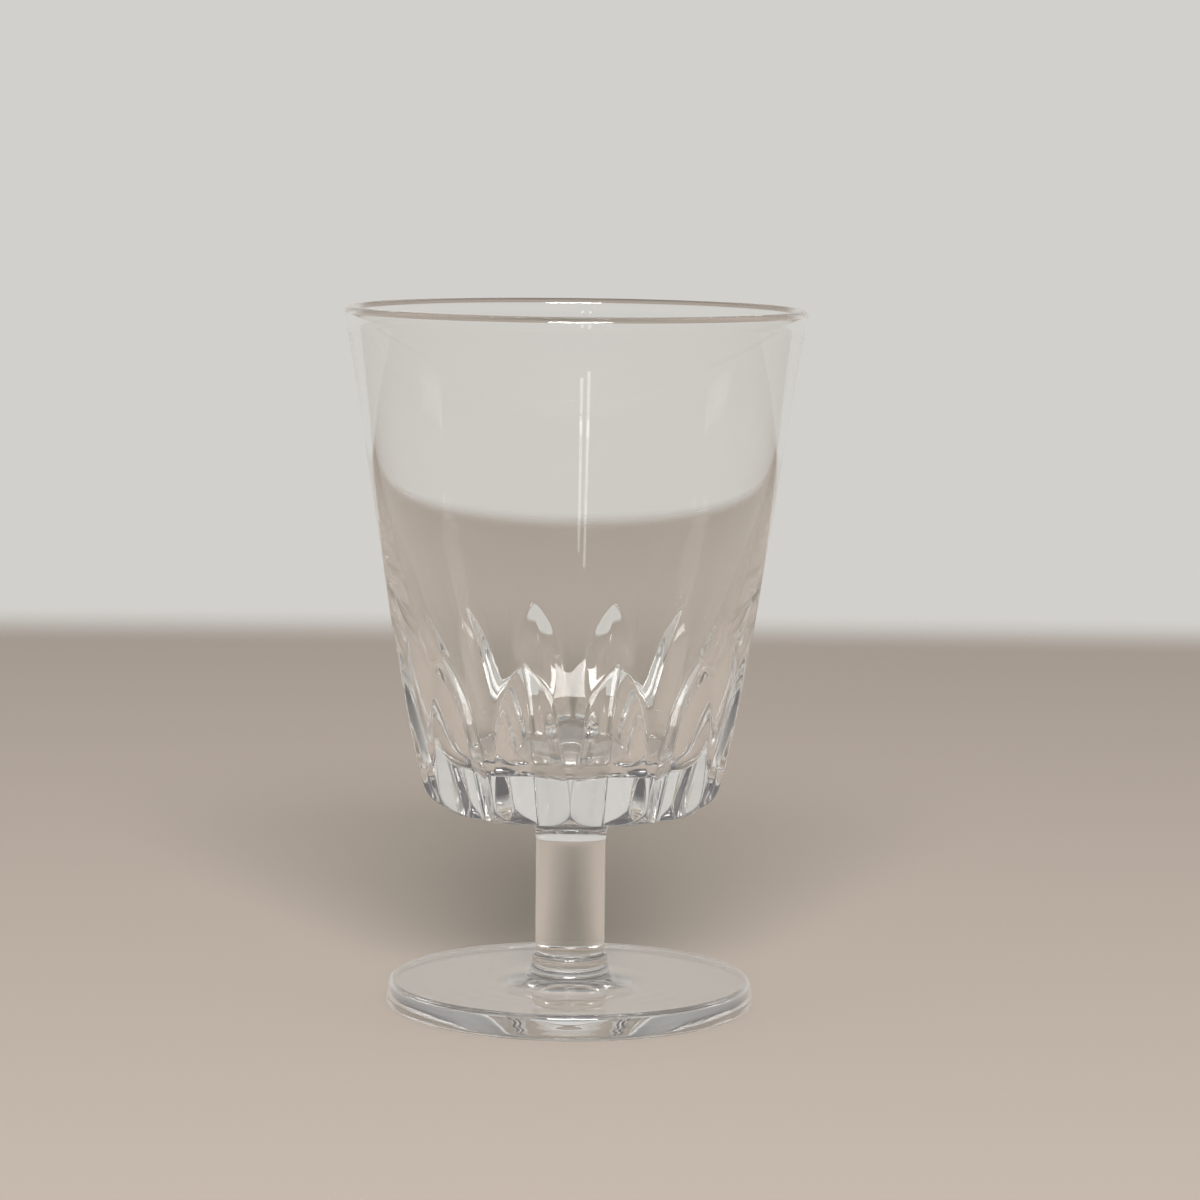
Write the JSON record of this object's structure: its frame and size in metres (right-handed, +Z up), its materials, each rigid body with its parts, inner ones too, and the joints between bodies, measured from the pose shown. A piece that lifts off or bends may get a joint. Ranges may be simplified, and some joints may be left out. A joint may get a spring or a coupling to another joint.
{
  "type": "sherbet glass",
  "caption": "Clear crystal stemmed glass: a flared bowl with petal cuts round its thick base, a short solid stem and a flat round foot, for sherbet or cold drinks.",
  "frame": {"origin": "centre of the foot's flat underside, on the surface that the glass stands on", "axes": "+Z up along the glass's axis, with an uncut ridge between two petals facing -Y, towards the viewer"},
  "size_m": [0.0754, 0.0754, 0.1149],
  "materials": {
    "crystal": "clear fire-polished crystal glass"
  },
  "bodies": {
    "root": {"bowl": "crystal", "stem": "crystal", "foot": "crystal"}
  },
  "joints": []
}
